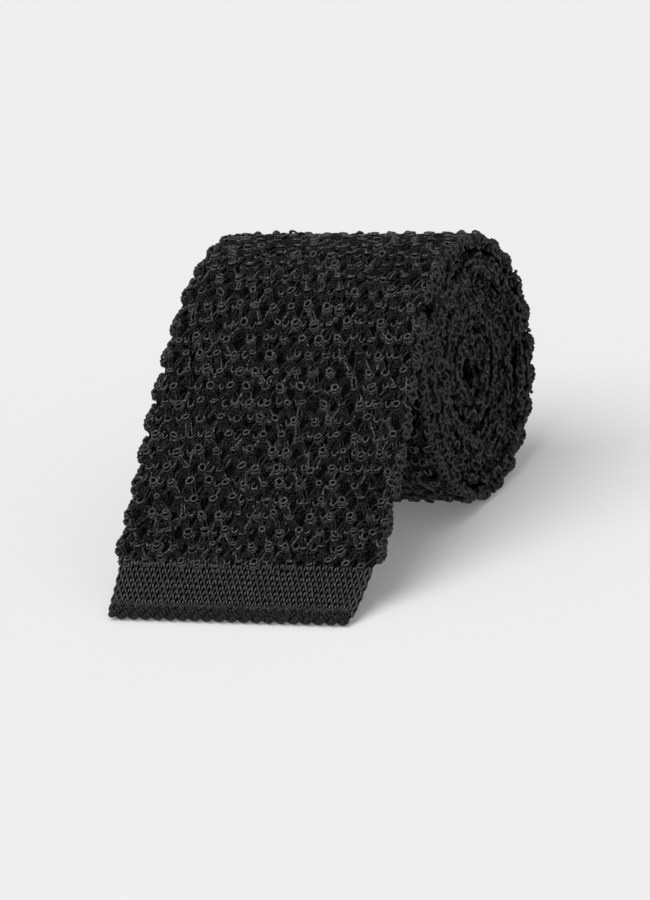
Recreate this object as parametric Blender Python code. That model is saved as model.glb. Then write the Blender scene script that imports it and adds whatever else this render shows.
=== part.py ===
"""A knitted necktie, rolled up, with the end of its front blade lying forward off the roll.

X runs across the tie, which is also the axis of the roll. The blade's tip points to -Y and Z is up.
The tie is one long flat tube of knitting. It is built here as the lengths of it that behave
differently: the pressed winding, the last loose turn, and the stretch that falls to the table.
Every band is drawn in the YZ plane, seen from +X, and given its width along X.
"""

import math

import bmesh
import bpy

# widths across the tie, in metres
BLADE_WIDTH = 0.062
NECK_WIDTH = 0.058
TAIL_WIDTH = 0.0565
BAND_INSET = 0.0008  # the plain band pulls in a little at each side

# thicknesses of the cloth
LOOSE = 0.0025  # two layers of open knitting, lying free
PRESSED = 0.0012  # the same two layers inside the winding
BAND_THICK = 0.0016
EDGE_RADIUS = 0.0011
GAP = 0.0003

# the roll, with angles counted from +Y towards +Z around its axis
AXIS_Y = 0.02125
AXIS_Z = 0.02839
LEAVE_RADIUS = 0.0293  # the front face, where the blade leaves the roll
LEAVE_DEG = 138.0
LOOSE_START_DEG = LEAVE_DEG - 360.0
HINGE_START_DEG = -90.0
TURNS = 8  # lengths of the last turn that can bend
RISE = LOOSE + 0.0004  # what the last turn gains in radius
PITCH = PRESSED + GAP
CORE_OUTER = LEAVE_RADIUS - LOOSE - RISE  # inner face of the winding's outer end

# the falling stretch
FALL_DEG = 48.0
FALL_EASE_DEG = 22.0
FALL_LENGTH = 0.06919
FALL_PARTS = 3
BAND_LENGTH = 0.0130

# lengths of tie in the winding, from its outer end inwards
WOUND_BLADE = 0.320
WOUND_TAPER = 0.140
WOUND_NECK = 0.380
WOUND_FLARE = 0.060
WOUND_TAIL = 0.325

# trim on the blade's back
KEEPER_DEG = (-134.0, -108.0)
KEEPER_HALF = 0.016
LABEL_DEG = (-172.0, -142.0)
LABEL_HALF = 0.020
TRIM_OFFSET = 0.0003
KEEPER_THICK = 0.0006
LABEL_THICK = 0.0004
TACK_WIDTH = 0.0010

STEP_DEG = 10.0
BLACK_SILK = (0.012, 0.012, 0.013, 1.0)
BLACK_BAND = (0.018, 0.018, 0.019, 1.0)
BLACK_RIBBON = (0.020, 0.020, 0.022, 1.0)
LABEL_CLOTH = (0.030, 0.031, 0.034, 1.0)


def spiral_point(angle, radius):
    """The point of the roll at an angle in degrees and a radius, as (y, z), never below the table."""
    turn = math.radians(angle)
    return AXIS_Y + radius * math.cos(turn), max(AXIS_Z + radius * math.sin(turn), 0.0)


def loose_inner(angle):
    """Inner radius of the last turn, which starts on the winding and ends where the blade leaves."""
    share = (angle - LOOSE_START_DEG) / 360.0
    return CORE_OUTER + RISE * (1.0 - (1.0 - share) ** 3)


def wound_inner(angle):
    """Inner radius of the winding, which ends at the loose turn's start."""
    return CORE_OUTER + PITCH * (angle - LOOSE_START_DEG) / 360.0


def wound_angle(length):
    """The angle reached by going this length of tie into the winding from its outer end."""
    middle = CORE_OUTER + PRESSED / 2
    radius = math.sqrt(middle**2 - length * PITCH / math.pi)
    return LOOSE_START_DEG - 360.0 * (middle - radius) / PITCH


def steps(start, end, size):
    """Numbers from start to end, evenly spaced about this far apart."""
    count = max(1, math.ceil(abs(end - start) / size))
    return [start + (end - start) * i / count for i in range(count + 1)]


def turn_stations(start, end, inner, thick, size=STEP_DEG / 2):
    """Pairs of (back, front) points round the roll, with half a gap left at each end."""
    trim = math.degrees(GAP / 2 / LEAVE_RADIUS)
    angles = steps(start + trim, end - trim, size)
    return [
        (spiral_point(a, inner(a)), spiral_point(a, inner(a) + thick)) for a in angles
    ]


def fall_frame(length):
    """The blade's middle (y, z) at this length past the roll, and its front normal."""
    turn = math.radians(LEAVE_DEG)
    radius = LEAVE_RADIUS - LOOSE / 2
    y = AXIS_Y + radius * math.cos(turn)
    z = AXIS_Z + radius * math.sin(turn)
    count = 400
    size = length / count
    for i in range(count):
        slope = fall_slope(size * (i + 0.5))
        y -= math.cos(slope) * size
        z -= math.sin(slope) * size
    slope = fall_slope(length)
    return (y, z), (-math.sin(slope), math.cos(slope))


def fall_slope(length):
    """How steeply the blade falls at this length past the roll, in radians."""
    share = length / FALL_LENGTH
    return math.radians(FALL_DEG - FALL_EASE_DEG * share**3)


def fall_stations(start, end, thick):
    """Pairs of (back, front) points down the falling stretch."""
    stations = []
    for length in steps(start + GAP / 2, end - GAP / 2, 0.003):
        (y, z), (ny, nz) = fall_frame(length)
        half = thick / 2
        back = (y - ny * half, max(z - nz * half, 0.0))
        stations.append((back, (y + ny * half, z + nz * half)))
    return stations


def material(name, colour):
    """A plain cloth material of this colour."""
    made = bpy.data.materials.new(name)
    made.use_nodes = True
    shader = made.node_tree.nodes["Principled BSDF"]
    shader.inputs["Base Color"].default_value = colour
    shader.inputs["Roughness"].default_value = 0.6
    made.diffuse_color = colour
    return made


def add(name, data, colour, pivot):
    """Put data in the part's collection as an object of this name with its origin at (y, z)."""
    piece = bpy.data.objects.new(name, data)
    piece.location = (0.0, pivot[0], pivot[1])
    data.materials.append(material(name, colour))
    PART.objects.link(piece)
    return piece


def add_band(name, stations, half_width, colour, pivot=None, offset_x=0.0):
    """A band of constant width: its side view as a filled outline, thickened along X."""
    pivot = pivot or (AXIS_Y, AXIS_Z)
    outline = [back for back, _ in stations] + [front for _, front in reversed(stations)]
    curve = bpy.data.curves.new(name, "CURVE")
    curve.dimensions = "2D"
    curve.fill_mode = "BOTH"
    curve.extrude = half_width
    spline = curve.splines.new("POLY")
    spline.points.add(len(outline) - 1)
    for point, (y, z) in zip(spline.points, outline):
        point.co = (y - pivot[0], z - pivot[1], 0.0, 1.0)
    spline.use_cyclic_u = True
    piece = add(name, curve, colour, pivot)
    piece.rotation_euler = (math.pi / 2, 0.0, math.pi / 2)
    piece.location.x = offset_x
    return piece


def add_taper(name, start, end, half_start, half_end, colour):
    """A length of the winding whose width changes: a loft through its cross-sections."""
    pivot = (AXIS_Y, AXIS_Z)
    stations = turn_stations(start, end, wound_inner, PRESSED, STEP_DEG)
    mesh = bmesh.new()
    rings = []
    for i, pair in enumerate(stations):
        share = i / (len(stations) - 1)
        ease = share * share * (3.0 - 2.0 * share)
        half = half_start + (half_end - half_start) * ease
        (back_y, back_z), (front_y, front_z) = pair
        corners = [
            (-half, back_y, back_z),
            (half, back_y, back_z),
            (half, front_y, front_z),
            (-half, front_y, front_z),
        ]
        rings.append([mesh.verts.new((x, y - pivot[0], z - pivot[1])) for x, y, z in corners])
    for ring, after in zip(rings, rings[1:]):
        for i in range(4):
            j = (i + 1) % 4
            mesh.faces.new((ring[i], ring[j], after[j], after[i]))
    mesh.faces.new(rings[0])
    mesh.faces.new(list(reversed(rings[-1])))
    bmesh.ops.recalc_face_normals(mesh, faces=mesh.faces)
    data = bpy.data.meshes.new(name)
    mesh.to_mesh(data)
    mesh.free()
    return add(name, data, colour, pivot)


def add_rod(name, centre, radius, half_width, colour, pivot):
    """A round edge cord across the tie."""
    curve = bpy.data.curves.new(name, "CURVE")
    curve.dimensions = "3D"
    curve.fill_mode = "FULL"
    curve.bevel_depth = radius
    curve.bevel_resolution = 4
    curve.use_fill_caps = True
    spline = curve.splines.new("POLY")
    spline.points.add(1)
    for point, x in zip(spline.points, (-half_width, half_width)):
        point.co = (x, centre[0] - pivot[0], centre[1] - pivot[1], 1.0)
    return add(name, curve, colour, pivot)


def build_winding():
    """The pressed winding, from its outer end to the tail's tip in the eye of the roll."""
    lengths = [WOUND_BLADE, WOUND_TAPER, WOUND_NECK, WOUND_FLARE, WOUND_TAIL, BAND_LENGTH]
    angles = [wound_angle(sum(lengths[:i])) for i in range(len(lengths) + 1)]
    blade, neck, tail = BLADE_WIDTH / 2, NECK_WIDTH / 2, TAIL_WIDTH / 2

    def straight(name, i, half, colour):
        stations = turn_stations(angles[i + 1], angles[i], wound_inner, PRESSED, STEP_DEG)
        add_band(name, stations, half, colour)

    straight("blade_wound", 0, blade, BLACK_SILK)
    add_taper("blade_taper", angles[2], angles[1], neck, blade, BLACK_SILK)
    straight("neck", 2, neck, BLACK_SILK)
    add_taper("tail_flare", angles[4], angles[3], tail, neck, BLACK_SILK)
    straight("tail_blade", 4, tail, BLACK_SILK)
    straight("tail_band", 5, tail - BAND_INSET, BLACK_BAND)
    end = angles[-1] - math.degrees((GAP + PRESSED) / 2 / wound_inner(angles[-1]))
    centre = spiral_point(end, wound_inner(end) + PRESSED / 2)
    add_rod("tail_edge", centre, PRESSED / 2, tail - BAND_INSET, BLACK_BAND, (AXIS_Y, AXIS_Z))


def build_loose_turn():
    """The last turn: a fixed length under the roll's front, then lengths that unroll."""
    first = turn_stations(LOOSE_START_DEG, HINGE_START_DEG, loose_inner, LOOSE)
    add_band("blade_turn_00", first, BLADE_WIDTH / 2, BLACK_SILK)
    size = (LEAVE_DEG - HINGE_START_DEG) / TURNS
    for i in range(TURNS):
        start = HINGE_START_DEG + i * size
        stations = turn_stations(start, start + size, loose_inner, LOOSE)
        pivot = spiral_point(start, loose_inner(start) + LOOSE)
        add_band(f"blade_turn_{i + 1:02d}", stations, BLADE_WIDTH / 2, BLACK_SILK, pivot)


def fall_pivot(length):
    """The joint axis (y, z) on the back of the falling stretch."""
    (y, z), (ny, nz) = fall_frame(length)
    return y - ny * LOOSE / 2, z - nz * LOOSE / 2


def build_fall():
    """The stretch that falls to the table, its plain band and its bound edge."""
    knit = FALL_LENGTH - BAND_LENGTH - EDGE_RADIUS
    size = knit / FALL_PARTS
    leave = spiral_point(LEAVE_DEG, LEAVE_RADIUS)
    for i in range(FALL_PARTS):
        stations = fall_stations(i * size, (i + 1) * size, LOOSE)
        pivot = fall_pivot(i * size) if i else leave
        add_band(f"blade_fall_{i + 1:02d}", stations, BLADE_WIDTH / 2, BLACK_SILK, pivot)
    pivot = fall_pivot(knit)
    half = BLADE_WIDTH / 2 - BAND_INSET
    stations = fall_stations(knit, knit + BAND_LENGTH - EDGE_RADIUS, BAND_THICK)
    add_band("tip_band", stations, half, BLACK_BAND, pivot)
    centre, _ = fall_frame(FALL_LENGTH - EDGE_RADIUS + GAP / 2)
    add_rod("tip_edge", centre, EDGE_RADIUS, half, BLACK_BAND, pivot)


def trim_stations(span, thick):
    """Stations of a thin piece lying on the back of the last turn."""

    def inner(angle):
        return loose_inner(angle) - TRIM_OFFSET - thick

    return turn_stations(span[0], span[1], inner, thick)


def build_trim():
    """The keeper that the tail is passed through, its two bar tacks, and a blank label."""
    keeper = trim_stations(KEEPER_DEG, KEEPER_THICK)
    add_band("keeper_loop", keeper, KEEPER_HALF, BLACK_RIBBON)
    side = KEEPER_HALF + GAP + TACK_WIDTH / 2
    for name, x in (("keeper_tack_left", -side), ("keeper_tack_right", side)):
        add_band(name, keeper, TACK_WIDTH / 2, BLACK_SILK, offset_x=x)
    add_band("label", trim_stations(LABEL_DEG, LABEL_THICK), LABEL_HALF, LABEL_CLOTH)


for leftover in list(bpy.data.objects):
    bpy.data.objects.remove(leftover, do_unlink=True)
PART = bpy.data.collections.new("knitted_necktie")
bpy.context.scene.collection.children.link(PART)
build_winding()
build_loose_turn()
build_fall()
build_trim()
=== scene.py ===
"""Looks of the rolled knitted necktie: yarns laid one by one on the tie's flat tube.

Lengths in this file are in millimetres until a mesh is made. A place on the cloth is
(around, along, height): around runs round the flat tube from its right-hand fold, along runs
from the tip towards the tail, and height is how far it stands off the tube's middle surface.
"""

import math

import bpy
import numpy as np
from mathutils import Matrix, Vector


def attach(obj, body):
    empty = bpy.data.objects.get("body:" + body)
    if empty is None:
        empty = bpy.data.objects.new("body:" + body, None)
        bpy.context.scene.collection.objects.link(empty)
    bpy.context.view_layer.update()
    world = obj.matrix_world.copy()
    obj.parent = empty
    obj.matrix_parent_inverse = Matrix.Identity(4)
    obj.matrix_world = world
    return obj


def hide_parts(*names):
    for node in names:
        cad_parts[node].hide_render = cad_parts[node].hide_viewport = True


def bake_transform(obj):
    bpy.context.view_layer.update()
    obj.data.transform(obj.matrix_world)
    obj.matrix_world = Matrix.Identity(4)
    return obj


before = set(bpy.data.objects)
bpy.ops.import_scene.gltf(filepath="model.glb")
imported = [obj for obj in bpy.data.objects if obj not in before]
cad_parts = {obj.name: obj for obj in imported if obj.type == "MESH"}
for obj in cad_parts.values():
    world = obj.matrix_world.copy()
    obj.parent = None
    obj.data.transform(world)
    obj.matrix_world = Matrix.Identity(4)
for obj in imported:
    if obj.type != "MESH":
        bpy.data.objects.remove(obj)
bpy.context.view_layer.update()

MM = 0.001

# the shape of the rolled tie, as the CAD model has it
AXIS_Y, AXIS_Z = 21.25, 28.39
LEAVE_RADIUS, LEAVE_DEG = 29.3, 138.0
LOOSE, PRESSED, GAP = 2.5, 1.2, 0.3
LOOSE_START_DEG = LEAVE_DEG - 360.0
HINGE_START_DEG = -90.0
TURNS = 8
RISE = LOOSE + 0.4
PITCH = PRESSED + GAP
CORE_OUTER = LEAVE_RADIUS - LOOSE - RISE
FALL_DEG, FALL_EASE_DEG = 48.0, 22.0
FALL_LENGTH = 69.19
FALL_PARTS = 3
FALL_STEPS = 700
BAND_LENGTH = 13.0
EDGE_RADIUS = 1.1
BAND_INSET = 0.8
WOUND_LENGTHS = (320.0, 140.0, 380.0, 60.0, 325.0, 13.0)
BLADE_HALF, NECK_HALF, TAIL_HALF = 31.0, 29.0, 28.25
EYE_OPEN_DEG = 14.0  # the path runs this far past the tail's end

# the tie's slight drawing in and its wandering edges
TIP_DRAWN_IN, BAND_DRAWN_IN = 2.2, 1.0
ROLL_DRAWN_IN = 1.1
STRAY, STRAY_ALONG, STRAY_LENGTH = 1.3, 86.0, 22.0

# the knitting
COLUMNS = 56
ROW = 3.65
TOTAL_ROWS = 420
YARN = 0.27
LEG_YARN = 0.29
LEG_STRANDS = 3
CURLS = 5  # slack curls low down in each opening
SIDES = 6  # of a yarn's tube
LOOSE_CORE, PRESSED_CORE = 0.30, 0.15  # from the tube's middle to a face's middle surface
YARN_REACH = 0.85  # how far the yarns stand out past it at the folds
TUBE_ROUND = 121.0  # about the length round the flat tube
BAND_COLUMNS = 84
BAND_ROW = 1.30
BAND_YARN = 0.27
BAND_COURSES = 9
FIRST_ROW_ALONG = BAND_LENGTH + 1.2 - ROW  # row 0 lies under the band
EDGE_STEP = 2.4  # between the bunched loops along the folds in the roll
EDGE_YARN = 0.40
ROPE_PLIES = 3
TURN_PARTS = 4
OUTER_LENGTH, OUTER_PARTS = 156.0, 4  # the part of the winding that unrolling bares
FRONT_COLUMNS = range(1, 28)  # those of the face that looks outward
LOOSE_SINK = -1.0  # the loose turn's folds curl in towards the winding

# a knob on a fold: along, out, radial, (long, deep, wide), turns, points, yarn radius
KNOBS = (
    (-0.9, 0.55, 0.1, (2.0, 1.00, 0.95), 7, 56, 0.34),
    (1.5, 0.30, -0.1, (1.5, 0.85, 0.70), 5, 44, 0.32),
)
# a rope of the bound edge: along, half length, radius, pitch, height
SMALL_ROPE = (2.4, BLADE_HALF - BAND_INSET - 1.7, 1.05, 2.1, 0.45)
EDGE_ROPE = (0.9, BLADE_HALF - BAND_INSET - 1.9, 1.45, 2.9, 0.20)

# the yarns of the open knitting, as places in KNIT_YARNS; DIM and LOW are the silk darkened with
# painted shade
BRIGHT, DIM, KNOB, LOW = range(4)

# the materials' textures
COLOUR_SCALE, FIBRE_SCALE = 900.0, 2600.0
FIBRE_RELIEF = 0.0005
SMOOTHER, ROUGHER = -0.17, 0.24

# the stage
FLOOR_SIZE, FLOOR_DROP = 6.0, 0.0002
FLOOR_GREY, FLOOR_GLOW = 0.70, 0.14
WORLD_LEVEL = 0.40
CAMERA_AZIMUTH, CAMERA_ELEVATION, CAMERA_ROLL = 29.07, 20.13, -9.97
CAMERA_DISTANCE, CAMERA_LENS = 1.2354, 231.9
CAMERA_AIM_HEIGHT, CAMERA_AIM_RIGHT, CAMERA_AIM_DOWN = 0.028, 0.00337, 0.00917

rng = np.random.default_rng(7)


# ---------------------------------------------------------------- the tie's path

def loose_middle(angle):
    """Radius of the loose turn's middle surface at this angle."""
    share = (angle - LOOSE_START_DEG) / 360.0
    return CORE_OUTER + RISE * (1.0 - (1.0 - share) ** 3) + LOOSE / 2


def wound_middle(angle):
    """Radius of the pressed winding's middle surface at this angle."""
    return CORE_OUTER + PITCH * (angle - LOOSE_START_DEG) / 360.0 + PRESSED / 2


def wound_angle(length):
    """The angle that this length of the pressed winding reaches."""
    middle = CORE_OUTER + PRESSED / 2
    radius = math.sqrt(middle**2 - length * PITCH / math.pi)
    return LOOSE_START_DEG - 360.0 * (middle - radius) / PITCH


def make_path():
    """Tables of along, y, z and the front normal, from the tip to the tail."""
    lengths = np.linspace(0.0, FALL_LENGTH, FALL_STEPS)
    slopes = np.radians(FALL_DEG - FALL_EASE_DEG * (lengths / FALL_LENGTH) ** 3)
    size = lengths[1] - lengths[0]
    middles = (slopes[1:] + slopes[:-1]) / 2
    leave = math.radians(LEAVE_DEG)
    radius = LEAVE_RADIUS - LOOSE / 2
    y = AXIS_Y + radius * math.cos(leave) - np.append(0.0, np.cumsum(np.cos(middles) * size))
    z = AXIS_Z + radius * math.sin(leave) - np.append(0.0, np.cumsum(np.sin(middles) * size))
    fall = np.stack([y, z, -np.sin(slopes), np.cos(slopes)], -1)[::-1]

    loose_angles = np.arange(LEAVE_DEG - 0.5, LOOSE_START_DEG, -0.5)
    tail_angle = wound_angle(sum(WOUND_LENGTHS)) - EYE_OPEN_DEG
    wound_angles = np.arange(LOOSE_START_DEG - 3.0, tail_angle, -1.0)
    angles = np.append(loose_angles, wound_angles)
    radii = np.append(loose_middle(loose_angles), wound_middle(wound_angles))
    turn = np.radians(angles)
    normal_y, normal_z = np.cos(turn), np.sin(turn)
    roll = np.stack(
        [AXIS_Y + radii * normal_y, AXIS_Z + radii * normal_z, normal_y, normal_z], -1
    )
    table = np.concatenate([fall, roll])
    gaps = np.hypot(*np.diff(table[:, :2], axis=0).T)
    return np.append(0.0, np.cumsum(gaps)), table


ALONG, PATH = make_path()


def along_of_angle(angle):
    """How far along the tie the loose turn is at this angle."""
    angles = np.arange(LEAVE_DEG, angle, -0.25)
    return FALL_LENGTH + float(np.sum(loose_middle(angles)) * math.radians(0.25))


LOOSE_END = along_of_angle(LOOSE_START_DEG)


def pressed_share(along):
    """0 where the cloth lies free, 1 inside the winding."""
    t = np.clip((along - LOOSE_END) / 10.0 + 0.6, 0.0, 1.0)
    return t * t * (3.0 - 2.0 * t)


def half_width(along):
    """Half the tie's width at each place along it, drawn in a little at the tip and the roll."""
    taper = LOOSE_END + WOUND_LENGTHS[0]
    neck = taper + WOUND_LENGTHS[1]
    tail = neck + WOUND_LENGTHS[2]
    # each mark is (along, half width)
    marks = (
        (0.0, BLADE_HALF - BAND_INSET - TIP_DRAWN_IN),
        (1.6, BLADE_HALF - BAND_INSET - BAND_DRAWN_IN),
        (BAND_LENGTH, BLADE_HALF - BAND_INSET),
        (BAND_LENGTH + 3.0, BLADE_HALF),
        (45.0, BLADE_HALF + 0.2),
        (FALL_LENGTH, BLADE_HALF - 0.7),
        (100.0, BLADE_HALF - ROLL_DRAWN_IN),
        (taper, BLADE_HALF - ROLL_DRAWN_IN),
        (neck, NECK_HALF),
        (tail, NECK_HALF),
        (tail + WOUND_LENGTHS[3], TAIL_HALF),
    )
    widths = np.interp(along, *zip(*marks))
    wander = 0.30 * np.sin(along / 17.0 + 1.0) + 0.20 * np.sin(along / 7.3)
    return widths - sideways(along) + wander * (0.35 + 2.0 * pressed_share(along))


def sideways(along):
    """How far the tie's middle strays to the right, its left edge being drawn in over the top."""
    return STRAY * np.exp(-(((along - STRAY_ALONG) / STRAY_LENGTH) ** 2))


def core_half(along):
    """Half the thickness between the two faces' middle surfaces."""
    return LOOSE_CORE + (PRESSED_CORE - LOOSE_CORE) * pressed_share(along)


def section(along):
    """The flat tube's half thickness, the width of its flat faces and the length round it."""
    half = core_half(along)
    flat = 2.0 * (half_width(along) - YARN_REACH - half)
    return half, flat, 2.0 * flat + 2.0 * math.pi * half


def round_section(around, half, flat, whole):
    """X, depth and normal round the tube: right fold, front, left fold, back, right fold again."""
    c = around * whole
    bend = math.pi * half / 2
    x, depth = np.zeros_like(c), np.zeros_like(c)
    nx, nd = np.zeros_like(c), np.zeros_like(c)

    def fold(mask, arc, side):
        turn = (arc / np.maximum(half, 1e-6))[mask]
        nx[mask] = side * np.cos(turn)
        nd[mask] = np.sin(turn)
        x[mask] = side * flat[mask] / 2 + half[mask] * nx[mask]
        depth[mask] = half[mask] * nd[mask]

    front = (c >= bend) & (c < bend + flat)
    x[front] = flat[front] / 2 - (c - bend)[front]
    depth[front], nd[front] = half[front], 1.0
    back = (c >= 3 * bend + flat) & (c < 3 * bend + 2 * flat)
    x[back] = -flat[back] / 2 + (c - 3 * bend - flat)[back]
    depth[back], nd[back] = -half[back], -1.0
    fold(c < bend, c, 1.0)
    fold((c >= bend + flat) & (c < 3 * bend + flat), 2 * bend + flat - c, -1.0)
    fold(c >= 3 * bend + 2 * flat, c - whole, 1.0)
    return x, depth, nx, nd


def place(around, along, height):
    """World points and normals for places on the cloth; around is 0..1 round the tube."""
    x, depth, nx, nd = round_section(np.mod(around, 1.0), *section(along))
    y, z, ny, nz = (np.interp(along, ALONG, PATH[:, i]) for i in range(4))
    depth = depth + height * nd
    x = x + height * nx + sideways(along)
    points = np.stack([x, y + depth * ny, z + depth * nz], -1)
    normals = np.stack([nx, nd * ny, nd * nz], -1)
    return points, normals


# ---------------------------------------------------------------- meshes

def tube_mesh(lines, normals, radius, sides=SIDES):
    """The vertices of tubes along lines[n, points, 3], as [n, points, sides, 3]."""
    tangent = np.gradient(lines, axis=1)
    tangent /= np.linalg.norm(tangent, axis=2, keepdims=True) + 1e-9
    first = normals - np.sum(normals * tangent, 2, keepdims=True) * tangent
    first /= np.linalg.norm(first, axis=2, keepdims=True) + 1e-9
    second = np.cross(tangent, first)
    turn = np.arange(sides) * 2 * math.pi / sides
    radius = np.broadcast_to(radius, lines.shape[:2])[..., None, None]
    ring = (
        first[:, :, None] * np.cos(turn)[:, None] + second[:, :, None] * np.sin(turn)[:, None]
    )
    return lines[:, :, None] + ring * radius


def open_faces(count, points, sides, start):
    """Quads of count tubes with this many points, then their cap polygons."""
    n = np.arange(count)[:, None, None] * points * sides + start
    p = np.arange(points - 1)[None, :, None] * sides
    s = np.arange(sides)[None, None, :]
    a = n + p + s
    b = n + p + (s + 1) % sides
    quads = np.stack([a, a + sides, b + sides, b], -1).reshape(-1, 4)
    head = (n[:, 0] + np.arange(sides)[None, :]).reshape(-1, sides)
    tail = head[:, ::-1] + (points - 1) * sides
    return quads, np.concatenate([head, tail])


def ring_faces(count, points, sides, start):
    """Quads of count closed rings."""
    n = np.arange(count)[:, None, None] * points * sides + start
    p = np.arange(points)[None, :, None]
    s = np.arange(sides)[None, None, :]
    after = (p + 1) % points
    a = n + p * sides + s
    b = n + p * sides + (s + 1) % sides
    c = n + after * sides + (s + 1) % sides
    d = n + after * sides + s
    return np.stack([a, d, c, b], -1).reshape(-1, 4)


class Yarns:
    """Collects tubes of yarn and makes one mesh of them; shade picks the material."""

    def __init__(self):
        self.verts, self.places, self.faces, self.count = [], [], [], 0

    def lay(self, around, along, height, radius=YARN, sides=SIDES, closed=False, shade=0):
        """Tubes along lines on the cloth, from arrays [lines, points] that broadcast together."""
        around, along, height = np.broadcast_arrays(around, along, height)
        if around.size == 0:
            return
        lines, normals = place(around.ravel(), along.ravel(), height.ravel())
        shape = (*around.shape, 3)
        places = np.stack([around, along], -1)
        self.tubes(lines.reshape(shape), normals.reshape(shape), places, radius, sides, closed, shade)

    def tubes(self, lines, normals, places, radius, sides=SIDES, closed=False, shade=0):
        """Tubes along lines in space; a closed one is a ring without caps."""
        count, points = lines.shape[:2]
        if closed:
            lines = np.concatenate([lines[:, -1:], lines, lines[:, :1]], axis=1)
            normals = np.concatenate([normals[:, -1:], normals, normals[:, :1]], axis=1)
            radius = np.broadcast_to(radius, (count, points))
            radius = np.concatenate([radius[:, -1:], radius, radius[:, :1]], axis=1)
            verts = tube_mesh(lines, normals, radius, sides)[:, 1:-1]
            faces = [ring_faces(count, points, sides, self.count)]
        else:
            verts = tube_mesh(lines, normals, radius, sides)
            faces = open_faces(count, points, sides, self.count)
        places = np.broadcast_to(places[:, :, None], (count, points, sides, 2))
        self.add(verts, places, faces, shade)

    def add(self, verts, places, faces, shade=0):
        """Keep these vertices, their places on the cloth and groups of faces."""
        self.verts.append(verts.reshape(-1, 3))
        self.places.append(places.reshape(-1, 2))
        self.faces += [(group, shade) for group in faces]
        self.count += verts.size // 3

    def mesh(self, name):
        """One Blender mesh of everything laid so far, nothing of it under the floor."""
        verts = np.concatenate(self.verts) * MM
        verts[:, 2] = np.maximum(verts[:, 2], 0.0)
        corners = np.concatenate([group.ravel() for group, _ in self.faces]).astype(np.int32)
        sizes = np.concatenate([np.full(len(group), group.shape[1]) for group, _ in self.faces])
        shades = np.concatenate([np.full(len(group), shade) for group, shade in self.faces])
        starts = np.append(0, np.cumsum(sizes)[:-1])
        data = bpy.data.meshes.new(name)
        data.vertices.add(len(verts))
        data.vertices.foreach_set("co", verts.astype(np.float32).ravel())
        data.loops.add(len(corners))
        data.loops.foreach_set("vertex_index", corners)
        data.polygons.add(len(sizes))
        data.polygons.foreach_set("loop_start", starts.astype(np.int32))
        data.polygons.foreach_set("loop_total", sizes.astype(np.int32))
        data.polygons.foreach_set("material_index", shades.astype(np.int32))
        data.polygons.foreach_set("use_smooth", np.ones(len(sizes), bool))
        data.update(calc_edges=True)
        self.add_uv(data, corners)
        return data

    def add_uv(self, data, corners):
        """A flat layout of the cloth, as a ready-made UV map."""
        places = np.concatenate(self.places)
        low, high = places.min(0), places.max(0)
        layout = 0.01 + 0.98 * (places - low) / np.maximum(high - low, 1e-6)
        layer = data.uv_layers.new(name="OFBake")
        layer.data.foreach_set("uv", layout[corners].astype(np.float32).ravel())


# ---------------------------------------------------------------- the open, crunchy knitting

SHIFT_AROUND = rng.normal(0.0, 0.18, (TOTAL_ROWS, COLUMNS))
SHIFT_ALONG = rng.normal(0.0, 0.34, (TOTAL_ROWS, COLUMNS))
SHIFT_HEIGHT = rng.normal(0.0, 0.10, (TOTAL_ROWS, COLUMNS))
RING_SIZE = rng.normal(1.0, 0.10, (TOTAL_ROWS, COLUMNS))
RING_TILT = rng.normal(0.0, 0.30, (TOTAL_ROWS, COLUMNS))
RING_LEAN = rng.normal(0.0, 0.25, (TOTAL_ROWS, COLUMNS))
RING_SLUBS = 1.0 + rng.uniform(-0.20, 0.20, (TOTAL_ROWS, COLUMNS, 12))
RING_SHARE = np.where(np.arange(COLUMNS) % 4 < 2, 0.92, 0.45)
IS_RING = rng.random((TOTAL_ROWS, COLUMNS)) < RING_SHARE
LEG_BULGE = rng.normal(0.0, 0.20, (TOTAL_ROWS, COLUMNS, 8))
LEG_SWAY = rng.normal(0.0, 0.28, (TOTAL_ROWS, COLUMNS, 8))
LEG_SLUBS = 1.0 + rng.uniform(-0.18, 0.18, (TOTAL_ROWS, COLUMNS, 8))
# the legs and stems not picked here take the silk's darker copy: painted shade
LEG_IS_BRIGHT = rng.random((TOTAL_ROWS, COLUMNS, 8)) < 0.22
STEM_IS_BRIGHT = rng.random((TOTAL_ROWS, COLUMNS)) < 0.50
IS_FILLED = rng.random((TOTAL_ROWS, COLUMNS)) < 0.55


def node_place(row, column):
    """(around, along, height) of the loop in this row and column."""
    column = np.mod(column, COLUMNS)
    row = np.clip(row, 0, TOTAL_ROWS - 1)
    around = (column + SHIFT_AROUND[row, column]) / COLUMNS
    along = FIRST_ROW_ALONG + row * ROW + SHIFT_ALONG[row, column]
    height = np.where(IS_RING[row, column], 0.88, 0.72)
    return around, along, height + SHIFT_HEIGHT[row, column]


def knit(yarns, rows, columns):
    """The raised loops and the legs between them, for these rows and columns.

    Row 0 only gives the curls that fill the openings just above the band.
    """
    grid_rows, grid_columns = np.meshgrid(rows, columns, indexing="ij")
    raised = (grid_rows + grid_columns) % 2 == 0
    r, c = grid_rows[raised], grid_columns[raised]
    add_under_loops(yarns, r, c)
    r, c = r[r > 0], c[r > 0]
    rings = IS_RING[r, c]
    add_rings(yarns, r[rings], c[rings])
    add_cups(yarns, r[~rings], c[~rings])
    add_stems(yarns, r, c)
    for side in (-1, 1):
        add_legs(yarns, r, c, side)
    filled = ~raised & IS_FILLED[grid_rows, grid_columns] & (grid_rows > 0)
    add_fillers(yarns, grid_rows[filled], grid_columns[filled])
    folds = (c == 0) | (c == COLUMNS // 2)
    add_scallops(yarns, r[folds], c[folds])


def column_of(values):
    """Each array as a column, to broadcast along the points of its yarn."""
    return tuple(v[:, None] for v in values)


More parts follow.
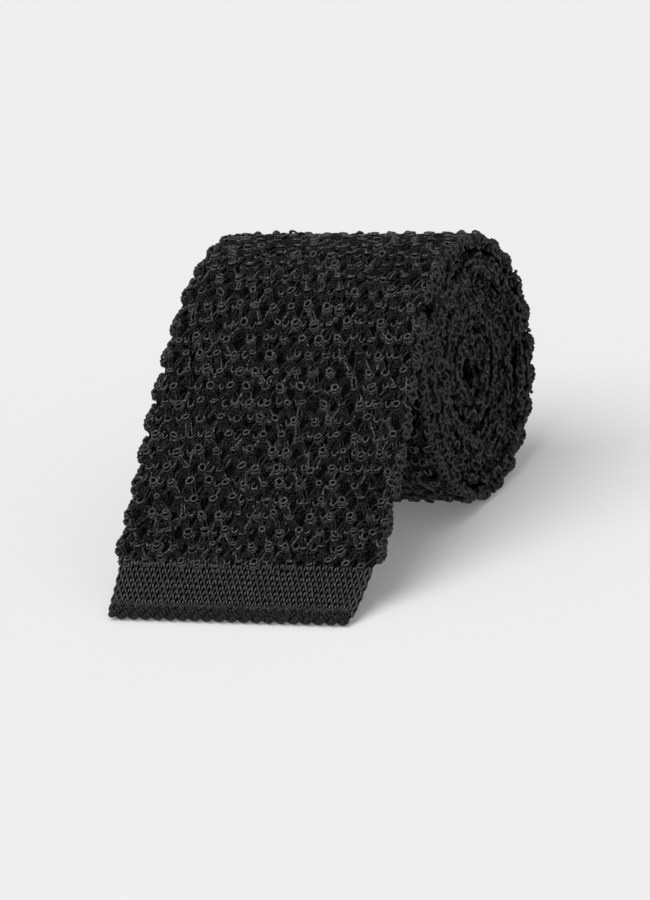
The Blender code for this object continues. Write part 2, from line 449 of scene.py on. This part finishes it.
def add_rings(yarns, r, c):
    """A small full ring of yarn at each of these loops, standing off the cloth."""
    around, along, height = column_of(node_place(r, c))
    tilt, lean = 0.25 + RING_TILT[r, c][:, None], RING_LEAN[r, c][:, None]
    size = 0.73 * RING_SIZE[r, c][:, None]
    turn = np.linspace(0.0, 2 * math.pi, 13)[:-1][None, :]
    across = size * (np.cos(turn) + lean * np.sin(turn))
    down = 0.92 * size * np.sin(turn)
    yarns.lay(
        around + across / TUBE_ROUND,
        along - down * np.cos(tilt),
        height + down * np.sin(tilt),
        YARN * RING_SLUBS[r, c],
        closed=True,
    )


def add_cups(yarns, r, c):
    """A loop open towards the roll, its two ends going under."""
    around, along, height = column_of(node_place(r, c))
    tilt = 0.35 + RING_TILT[r, c][:, None]
    size = 0.84 * RING_SIZE[r, c][:, None]
    turn = np.linspace(-2.5, 2.5, 12)[None, :]
    down = size * np.cos(turn)
    yarns.lay(
        around + 0.92 * size * np.sin(turn) / TUBE_ROUND,
        along - down * np.cos(tilt),
        height + down * np.sin(tilt) - 0.10 * turn**2,
        YARN * RING_SLUBS[r, c],
    )


def add_fillers(yarns, r, c):
    """Two slack loops, one under the other, in an opening between four raised ones."""
    around, along, height = column_of(node_place(r, c))
    size = 0.85 * RING_SIZE[r, c][:, None]
    turn = np.linspace(-2.2, 2.2, 10)[None, :] + 2.0 * RING_LEAN[r, c][:, None]
    # the lower loop takes the silk's darker copy: painted shade
    for rise, slide, shade in ((0.05, 0.0, BRIGHT), (-0.20, 0.55, DIM)):
        yarns.lay(
            around + 0.8 * size * np.sin(turn) / TUBE_ROUND,
            along + 0.3 - 1.15 * size * np.cos(turn) - slide,
            0.55 * height + rise - 0.08 * turn**2,
            LEG_YARN,
            5,
            shade=shade,
        )


def add_stems(yarns, r, c):
    """The two wider turns of yarn each loop sits on."""
    around, along, height = column_of(node_place(r, c))
    turn = np.linspace(-2.6, 2.6, 10)[None, :]
    bright = STEM_IS_BRIGHT[r, c]
    for size, drop, slide in ((0.95, 0.30, 0.25), (1.15, 0.62, 0.40)):
        size = size * RING_SIZE[r, c][:, None]
        lines = (
            around + size * np.sin(turn) / TUBE_ROUND,
            along - 1.05 * size * np.cos(turn) - slide,
            height - drop - 0.03 * turn**2,
        )
        lay_in_shades(yarns, lines, YARN, bright)


def lay_in_shades(yarns, lines, radius, bright):
    """Lay these lines, the bright ones in silk and the others in the silk's darker copy, whose tone
    is painted shade.
    """
    shape = np.broadcast_shapes(*(values.shape for values in lines))
    lines = [np.broadcast_to(values, shape) for values in (*lines, np.asarray(radius))]
    for mask, shade in ((bright, BRIGHT), (~bright, DIM)):
        yarns.lay(*(values[mask] for values in lines), 5, shade=shade)


def bezier(points, t):
    """The cubic curve of four control values."""
    a, b, c, d = points
    return a * (1 - t) ** 3 + 3 * b * t * (1 - t) ** 2 + 3 * c * t * t * (1 - t) + d * t**3


def add_legs(yarns, r, c, side):
    """A bundle of yarns from each loop's side to under the loop up and to that side."""
    t = np.linspace(0.0, 1.0, 8)[None, :]
    a0, s0, _ = column_of(node_place(r, c))
    a1, s1, _ = column_of(node_place(r + 1, c + side))
    a1 = a0 + np.mod(a1 - a0 + 0.5, 1.0) - 0.5
    slubs = LEG_YARN * LEG_SLUBS[r, c]
    for strand in range(LEG_STRANDS):
        pick = strand + (4 if side > 0 else 0)
        shift = 0.58 * (strand - 0.5 * (LEG_STRANDS - 1))
        bulge = LEG_BULGE[r, c, pick][:, None] + (0.24 if strand == 1 else 0.0)
        sway = LEG_SWAY[r, c, pick][:, None]
        across = (
            a0 + (side * 0.50 + shift) / TUBE_ROUND,
            a0 + (side * 1.15 + 1.3 * shift + sway) / TUBE_ROUND,
            a1 + (-side * 1.05 + 1.3 * shift + sway) / TUBE_ROUND,
            a1 + (-side * 0.15 + 0.6 * shift) / TUBE_ROUND,
        )
        length = (s0 + 0.1, s0 + 1.2 + 2.0 * sway, s1 - 1.9 + 2.0 * sway, s1 - 0.3)
        rise = (-0.10 + bulge, 0.34 + bulge, 0.30 + bulge, -0.30 + bulge)
        radius = np.roll(slubs, 2 * strand, axis=1)
        lines = (bezier(across, t), bezier(length, t), bezier(rise, t))
        lay_in_shades(yarns, lines, radius, LEG_IS_BRIGHT[r, c, pick])


def add_under_loops(yarns, r, c):
    """Slack curls of yarn low down in each opening, leaving a hole just above its loop."""
    a0, s0, _ = column_of(node_place(r, c))
    turn = np.linspace(-2.6, 2.6, 9)[None, :]
    # these curls take the darkest copy of the silk: painted shade
    for strand in range(CURLS):
        sway = 0.8 * LEG_SWAY[r, c, strand + 2][:, None]
        bulge = LEG_BULGE[r, c, strand + 3][:, None]
        size = 0.45 + 0.29 * strand
        yarns.lay(
            a0 + (size * 1.25 * np.sin(turn) + sway) / TUBE_ROUND,
            s0 + ROW + 0.35 + size * np.cos(turn) + sway,
            0.08 + 0.5 * bulge + 0.34 * np.cos(turn),
            LEG_YARN,
            4,
            shade=LOW,
        )


def along_edge(yarns, side, along, out, radial, radius, sides=SIDES, closed=True, shade=0):
    """Tubes beside a fold: out is past the fold along X, radial through the cloth's thickness."""
    along, out, radial = np.broadcast_arrays(along, out, radial)
    y, z, ny, nz = (np.interp(along, ALONG, PATH[:, i]) for i in range(4))
    x = side * (half_width(along) - YARN_REACH + out) + sideways(along)
    lines = np.stack([x, y + radial * ny, z + radial * nz], -1)
    normals = np.stack([np.full_like(x, side), 0.0 * x, 0.0 * x], -1)
    places = np.stack([0.5 - 0.5 * side + 0.01 * radial, along], -1)
    yarns.tubes(lines, normals, places, radius, sides, closed, shade)


def yarn_ball(yarns, side, along, out, radial, size, turns, points, radius):
    """A knob of yarn wound round an axis along the tie; size is (long, deep, wide)."""
    t = np.linspace(0.0, 1.0, points + 1)[:-1][None, :]
    tip = 1.25 * np.sin(4.0 * math.pi * t)
    turn = 2.0 * math.pi * turns * t + 37.0 * along
    long, deep, wide = size
    along_edge(
        yarns,
        side,
        along + long * np.sin(tip),
        out + wide * np.cos(tip) * np.sin(turn),
        radial + deep * np.cos(tip) * np.cos(turn),
        radius,
        shade=KNOB,
    )
    # a core in the silk's darker copy, painted shade, fills the knob's middle
    core = long * np.array([[-0.8, 0.0, 0.8]])
    along_edge(yarns, side, along + core, out, radial, 0.65 * wide, 5, closed=False, shade=DIM)


def add_scallops(yarns, r, c):
    """Fat knobs on the fold, one to every other row, which scallop the tie's edge."""
    _, along, _ = column_of(node_place(r, c))
    for side, column in ((1.0, 0), (-1.0, COLUMNS // 2)):
        here = along[c == column]
        if len(here):
            for slide, *knob in KNOBS:
                yarn_ball(yarns, side, here + slide, *knob)


def edge_lumps(yarns, start, end, side, sink):
    """The bunched loops along one folded edge in the roll, facing out along X."""
    along = np.arange(start + EDGE_STEP / 2, end, EDGE_STEP)
    count = len(along)
    draw = np.random.default_rng(int(start * 10) + (11 if side > 0 else 12))
    along = (along + draw.normal(0.0, 0.3, count))[:, None]
    out = draw.normal(0.45, 0.32, count)[:, None]
    radial = sink + draw.normal(0.0, 0.2, count)[:, None]
    long = draw.normal(1.35, 0.15, count)[:, None]
    yarn_ball(yarns, side, along, out - 0.40, radial, (long, 0.80, 0.75), 4, 24, 0.38)
    turn = np.linspace(-2.3, 2.3, 10)[None, :] + draw.uniform(0.0, 6.28, count)[:, None]
    size = draw.normal(0.90, 0.12, count)[:, None]
    lean = draw.normal(0.0, 0.40, count)[:, None]
    along_edge(
        yarns,
        side,
        along + 0.9 + 1.1 * size * np.sin(turn),
        out + 0.15 + lean * np.cos(turn),
        radial + size * np.cos(turn),
        EDGE_YARN,
        closed=False,
        shade=KNOB,
    )


# ---------------------------------------------------------------- the plain knitting

def plain_knit(yarns, start, rows):
    """Fine stocking-stitch courses round the tube, from start along the tie."""
    samples = 12
    t = np.linspace(0.0, BAND_COLUMNS, BAND_COLUMNS * samples + 1)[:-1]
    marks = np.arange(BAND_COLUMNS + 1)
    for row in range(rows):
        slip = rng.normal(0.0, 0.13, BAND_COLUMNS + 1)
        lift = rng.normal(0.0, 0.07, BAND_COLUMNS + 1)
        slip[-1], lift[-1] = slip[0], lift[0]
        around = (t + 0.5 * (row % 2) + 0.04 * np.sin(4 * math.pi * t)) / BAND_COLUMNS
        along = start + (row + 0.5) * BAND_ROW - 0.64 * np.cos(2 * math.pi * t) * BAND_ROW
        height = 0.24 - 0.30 * np.cos(4 * math.pi * t) + 0.14 * np.sin(2 * math.pi * t)
        height = height + np.interp(t, marks, lift)
        near_fold = np.abs(np.cos(2 * math.pi * t / BAND_COLUMNS)) ** 150
        height = height * (1.0 - 0.8 * near_fold)
        along = along + np.interp(t, marks, slip)
        yarns.lay(around[None], along[None], height[None], BAND_YARN, 5, closed=True)


def rope(yarns, along, half, radius, pitch, height, shade):
    """A rope of two strands, each of three plies, across the tie."""
    count = int(2 * half / pitch * 22)
    x = np.linspace(-half + 0.4, half - 0.4, count)
    y, z, ny, nz = (float(np.interp(along, ALONG, PATH[:, i])) for i in range(4))
    ty, tz = nz, -ny
    ends = np.sqrt(np.minimum(1.0, (half - np.abs(x)) / 1.5 + 0.15))
    for strand in range(2):
        for ply in range(ROPE_PLIES):
            turn = 2 * math.pi * x / (2 * pitch) + strand * math.pi
            twist = -2.6 * turn + 2 * math.pi * ply / ROPE_PLIES
            a = height + ends * radius * (0.40 * np.cos(turn) + 0.33 * np.cos(twist))
            b = ends * radius * (0.36 * np.sin(turn) + 0.33 * np.sin(twist))
            line = np.stack([x, y + a * ny + b * ty, z + a * nz + b * tz], -1)
            normal = np.stack([0 * x, 0 * x + ny, 0 * x + nz], -1)
            places = np.stack([x, np.sin(turn)], -1)
            yarns.tubes(line[None], normal[None], places[None], radius * 0.33, 6, False, shade)


# ---------------------------------------------------------------- the cloth under the yarns

def backing(name, start, end, stand=-0.10):
    """The close inner layer of the cloth: a flat closed tube between two places along it."""
    rows = max(3, int(abs(end - start) / 2.0) + 1)
    along = np.linspace(start, end, rows)[:, None]
    half, flat, whole = section(along)
    bend = math.pi * half / 2
    fold_steps = np.linspace(-1.0, 1.0, 6)
    flat_steps = np.linspace(0.0, 1.0, 14)[1:-1]
    c = np.concatenate(
        [
            fold_steps * bend,
            bend + flat_steps * flat,
            2 * bend + flat + fold_steps * bend,
            3 * bend + flat + flat_steps * flat,
        ],
        axis=1,
    )
    around, along = np.broadcast_arrays(c / whole, along)
    points, _ = place(around, along, stand)
    index = np.arange(around.size).reshape(around.shape)
    after = np.roll(index, -1, axis=1)
    quads = np.stack([index[:-1], index[1:], after[1:], after[:-1]], -1).reshape(-1, 4)
    caps = np.stack([index[0], index[-1][::-1]])
    yarns = Yarns()
    yarns.add(points, np.stack([around, along], -1), [quads, caps])
    return yarns.mesh(name)


# ---------------------------------------------------------------- materials

def add_noise(tree, scale, detail):
    """A noise texture in the object's own space."""
    where = tree.nodes.new("ShaderNodeTexCoord")
    noise = tree.nodes.new("ShaderNodeTexNoise")
    noise.inputs["Scale"].default_value = scale
    noise.inputs["Detail"].default_value = detail
    tree.links.new(where.outputs["Object"], noise.inputs["Vector"])
    return noise


def drift_colour(tree, shader, dark, light, scale):
    """Base colour that drifts between a dark and a light tone."""
    ramp = tree.nodes.new("ShaderNodeValToRGB")
    low, high = ramp.color_ramp.elements
    low.position, high.position = 0.35, 0.70
    low.color, high.color = (*dark, 1.0), (*light, 1.0)
    tree.links.new(add_noise(tree, scale, 3.0).outputs["Fac"], ramp.inputs["Fac"])
    tree.links.new(ramp.outputs["Color"], shader.inputs["Base Color"])


def add_fibres(tree, shader, roughness, bump):
    """Streaks of rougher and smoother fibre, which also stand up where bump isn't 0."""
    speckle = add_noise(tree, FIBRE_SCALE, 1.0)
    spread = tree.nodes.new("ShaderNodeMapRange")
    spread.inputs["From Min"].default_value = 0.35
    spread.inputs["From Max"].default_value = 0.65
    spread.inputs["To Min"].default_value = roughness + SMOOTHER
    spread.inputs["To Max"].default_value = roughness + ROUGHER
    tree.links.new(speckle.outputs["Fac"], spread.inputs["Value"])
    tree.links.new(spread.outputs["Result"], shader.inputs["Roughness"])
    if bump > 0.0:
        relief = tree.nodes.new("ShaderNodeBump")
        relief.inputs["Strength"].default_value = bump
        relief.inputs["Distance"].default_value = FIBRE_RELIEF
        tree.links.new(speckle.outputs["Fac"], relief.inputs["Height"])
        tree.links.new(relief.outputs["Normal"], shader.inputs["Normal"])


def yarn_material(name, dark, light, roughness, specular=0.5, bump=0.0, scale=COLOUR_SCALE):
    """Black yarn or cloth; specular and bump make it shine and glint like silk."""
    made = bpy.data.materials.new(name)
    made.use_nodes = True
    shader = made.node_tree.nodes["Principled BSDF"]
    drift_colour(made.node_tree, shader, dark, light, scale)
    add_fibres(made.node_tree, shader, roughness, bump)
    shader.inputs["Specular IOR Level"].default_value = specular
    return made


SILK = yarn_material(
    "silk_yarn", (0.002, 0.002, 0.0021), (0.010, 0.010, 0.0104), 0.25,
    specular=1.0, bump=1.0,
)
# a darker, less glossy copy of the silk; its dark tone is painted shade for yarn that lies deeper or
# faces down
SHADE = yarn_material(
    "inner_yarn_painted_shade", (0.0008, 0.0008, 0.0008), (0.0024, 0.0024, 0.0025), 0.34,
    specular=0.33, bump=1.0,
)
EDGE = yarn_material(
    "edge_yarn", (0.003, 0.003, 0.0031), (0.013, 0.013, 0.0135), 0.44,
    specular=0.50, bump=0.7,
)
# a still darker copy of the silk for the curls low in the openings; its tone is painted shade
DEEP_SHADE = yarn_material(
    "deep_yarn_painted_shade", (0.0005, 0.0005, 0.0005), (0.0012, 0.0012, 0.0012), 0.40,
    specular=0.20, bump=1.0,
)
PLAIN = yarn_material(
    "plain_yarn", (0.004, 0.004, 0.0042), (0.010, 0.010, 0.0105), 0.32,
    specular=0.7, bump=0.3,
)
# the tie's inner layer, seen through the openings; its near-black, matt tone is painted shade
INNER_CLOTH_SHADE = yarn_material(
    "inner_cloth_painted_shade", (0.0010, 0.0010, 0.0010), (0.0022, 0.0022, 0.0022), 0.9,
    specular=0.06, scale=300.0,
)
RIBBON = yarn_material("ribbon", (0.016, 0.016, 0.018), (0.028, 0.028, 0.030), 0.35)
LABEL = yarn_material("label_cloth", (0.024, 0.025, 0.028), (0.036, 0.037, 0.041), 0.6)
KNIT_YARNS = (SILK, SHADE, EDGE, DEEP_SHADE)


# ---------------------------------------------------------------- the pieces

def add_object(name, data, *materials):
    """A new object of this mesh, in these materials."""
    made = bpy.data.objects.new(name, data)
    for material in materials:
        data.materials.append(material)
    bpy.context.scene.collection.objects.link(made)
    return made


def rows_between(start, end):
    """The rows of open knitting that lie between two places along the tie."""
    low = math.ceil((start - FIRST_ROW_ALONG) / ROW)
    high = math.ceil((end - FIRST_ROW_ALONG) / ROW)
    return np.arange(max(low, 0), max(high, 0))


def strip_bodies():
    """Bodies from the tip to the roll, each with where its middle is along the tie."""
    knit_length = FALL_LENGTH - BAND_LENGTH - EDGE_RADIUS
    size = knit_length / FALL_PARTS
    chain = [("tip", (BAND_LENGTH + EDGE_RADIUS) / 2)]
    for i in reversed(range(FALL_PARTS)):
        chain.append((f"fall_{i + 1:02d}", FALL_LENGTH - (i + 0.5) * size))
    turn = (LEAVE_DEG - HINGE_START_DEG) / TURNS
    for i in reversed(range(TURNS)):
        angle = HINGE_START_DEG + (i + 0.5) * turn
        chain.append((f"turn_{i + 1:02d}", along_of_angle(angle)))
    chain.append(("roll", along_of_angle(HINGE_START_DEG - turn / 2)))
    return chain


def build_strip():
    """Knitting from the tip to the roll, in pieces from one body's middle to the next's."""
    chain = strip_bodies()
    for (near, start), (far, end) in zip(chain, chain[1:]):
        # the first piece takes every row from the band on
        low, first = (BAND_LENGTH - 0.2, 0.0) if near == "tip" else (start, start)
        yarns = Yarns()
        knit(yarns, rows_between(first, end), range(COLUMNS))
        if start > FALL_LENGTH:
            bunch_folds(yarns, low, end, LOOSE_SINK)
        piece = add_object(f"knit_{near}", yarns.mesh(f"knit_{near}"), *KNIT_YARNS)
        cloth = add_object(f"cloth_{near}", backing(f"cloth_{near}", low + 0.05, end - 0.05), INNER_CLOTH_SHADE)
        for made in (piece, cloth):
            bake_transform(made)
        if near != "tip":
            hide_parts(f"blade_{near}")
    build_tip()
    last = chain[-1][1]
    ride_knit(
        "turn_00", last, LOOSE_END, TURN_PARTS, range(COLUMNS), LOOSE_SINK, "blade_turn_00"
    )


def build_tip():
    """The plain band and the bound edge at the blade's tip."""
    yarns = Yarns()
    plain_knit(yarns, BAND_LENGTH - BAND_COURSES * BAND_ROW + 0.6, BAND_COURSES)
    band = add_object("plain_band", yarns.mesh("plain_band"), PLAIN)
    cloth = add_object("cloth_band", backing("cloth_band", 1.0, BAND_LENGTH - 0.25, 0.10), INNER_CLOTH_SHADE)
    edge_yarns = Yarns()
    # the upper rope takes the edge yarn, the lower one the silk's darker copy: painted shade on the
    # bottom rope
    for shade, sizes in enumerate((SMALL_ROPE, EDGE_ROPE)):
        rope(edge_yarns, *sizes, shade)
    edge = add_object("bound_edge", edge_yarns.mesh("bound_edge"), EDGE, SHADE)
    for made in (band, cloth, edge):
        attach(made, "tip")
    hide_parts("tip_band")
    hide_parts("tip_edge")


def bunch_folds(yarns, start, end, sink=0.0):
    """Bunched loops along both folds, sunk by this much through the cloth's thickness."""
    for side in (1.0, -1.0):
        edge_lumps(yarns, start, end, side, sink)


def ride_knit(name, start, end, parts, columns, sink=0.0, node=None):
    """Knitting that stays on the roll, in equal parts along the tie."""
    size = (end - start) / parts
    for i in range(parts):
        low, high = start + i * size, start + (i + 1) * size
        yarns = Yarns()
        knit(yarns, rows_between(low, high), columns)
        bunch_folds(yarns, low, high, sink)
        ride_piece(f"{name}_{i + 1}", yarns, low, high, node if i == 0 else None)


def ride_piece(name, yarns, start, end, node=None):
    """One stretch of knitting and its inner cloth, which stay on the roll."""
    piece = add_object(f"knit_{name}", yarns.mesh(f"knit_{name}"), *KNIT_YARNS)
    cloth = add_object(f"cloth_{name}", backing(f"cloth_{name}", start + 0.1, end - 0.1), INNER_CLOTH_SHADE)
    for made in (piece, cloth):
        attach(made, "roll")
    if node:
        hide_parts(node)


def build_winding():
    """The pressed winding, with all of its knitting where unrolling bares it."""
    names = ["blade_wound", "blade_taper", "neck", "tail_flare", "tail_blade", "tail_band"]
    start = LOOSE_END
    bared = start + OUTER_LENGTH
    ride_knit("wound_outer", start, bared, OUTER_PARTS, FRONT_COLUMNS)
    for name, length in zip(names, WOUND_LENGTHS):
        low = max(start, bared)
        yarns = Yarns()
        bunch_folds(yarns, low, start + length)
        ride_piece(name, yarns, low, start + length, name)
        start += length


def paint_trim():
    """The CAD pieces that are kept as they are get their own materials."""
    for name, material in (
        ("keeper_loop", RIBBON),
        ("keeper_tack_left", SILK),
        ("keeper_tack_right", SILK),
        ("label", LABEL),
        # the tail's edge, down in the roll's eye, takes the silk's darker copy: painted shade
        ("tail_edge", SHADE),
    ):
        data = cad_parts[name].data
        data.materials.clear()
        data.materials.append(material)


build_strip()
build_winding()
paint_trim()


# ---------------------------------------------------------------- the stage

def add_floor():
    """A plain pale floor, whose faint glow keeps the tie's shadow light."""
    data = bpy.data.meshes.new("floor")
    size = FLOOR_SIZE
    corners = [(-size, -size, 0), (size, -size, 0), (size, size, 0), (-size, size, 0)]
    data.from_pydata([Vector(p) for p in corners], [], [(0, 1, 2, 3)])
    floor = bpy.data.objects.new("floor", data)
    floor.location.z = -FLOOR_DROP
    made = bpy.data.materials.new("floor")
    made.use_nodes = True
    shader = made.node_tree.nodes["Principled BSDF"]
    shader.inputs["Base Color"].default_value = (FLOOR_GREY, FLOOR_GREY, FLOOR_GREY, 1.0)
    shader.inputs["Emission Color"].default_value = (1.0, 1.0, 1.0, 1.0)
    shader.inputs["Emission Strength"].default_value = FLOOR_GLOW
    shader.inputs["Roughness"].default_value = 0.9
    shader.inputs["Specular IOR Level"].default_value = 0.0
    data.materials.append(made)
    bpy.context.scene.collection.objects.link(floor)


def add_sun(name, towards, strength, spread):
    """Soft even light from one side, spread over this many degrees."""
    data = bpy.data.lights.new(name, "SUN")
    data.energy = strength
    data.angle = math.radians(spread)
    light = bpy.data.objects.new(name, data)
    light.rotation_euler = Vector(towards).to_track_quat("Z", "Y").to_euler()
    bpy.context.scene.collection.objects.link(light)


def add_world():
    """Even white light from all round."""
    world = bpy.data.worlds.new("studio")
    world.use_nodes = True
    background = world.node_tree.nodes["Background"]
    background.inputs["Color"].default_value = (1, 1, 1, 1)
    background.inputs["Strength"].default_value = WORLD_LEVEL
    bpy.context.scene.world = world


def add_camera():
    """A long lens at the photograph's angle, turned a little about its own axis."""
    data = bpy.data.cameras.new("camera")
    data.lens = CAMERA_LENS
    data.clip_start, data.clip_end = 0.05, 50.0
    camera = bpy.data.objects.new("camera", data)
    azimuth, elevation = math.radians(CAMERA_AZIMUTH), math.radians(CAMERA_ELEVATION)
    back = Vector(
        (
            math.sin(azimuth) * math.cos(elevation),
            -math.cos(azimuth) * math.cos(elevation),
            math.sin(elevation),
        )
    )
    flat_right = Vector((math.cos(azimuth), math.sin(azimuth), 0.0))
    flat_up = flat_right.cross(-back)
    roll = math.radians(CAMERA_ROLL)
    right = flat_right * math.cos(roll) + flat_up * math.sin(roll)
    up = flat_up * math.cos(roll) - flat_right * math.sin(roll)
    target = Vector((0.0, 0.0, CAMERA_AIM_HEIGHT))
    target += right * CAMERA_AIM_RIGHT - up * CAMERA_AIM_DOWN
    turned = Matrix((right, up, back)).transposed().to_4x4()
    turned.translation = target + back * CAMERA_DISTANCE
    camera.matrix_world = turned
    bpy.context.scene.collection.objects.link(camera)
    bpy.context.scene.camera = camera


add_floor()
add_world()
add_sun("key", towards=(-0.25, -0.36, 1.0), strength=2.05, spread=60.0)
add_sun("fill", towards=(1.0, -0.7, 0.6), strength=0.25, spread=50.0)
add_camera()
bpy.context.scene.view_settings.view_transform = "Standard"
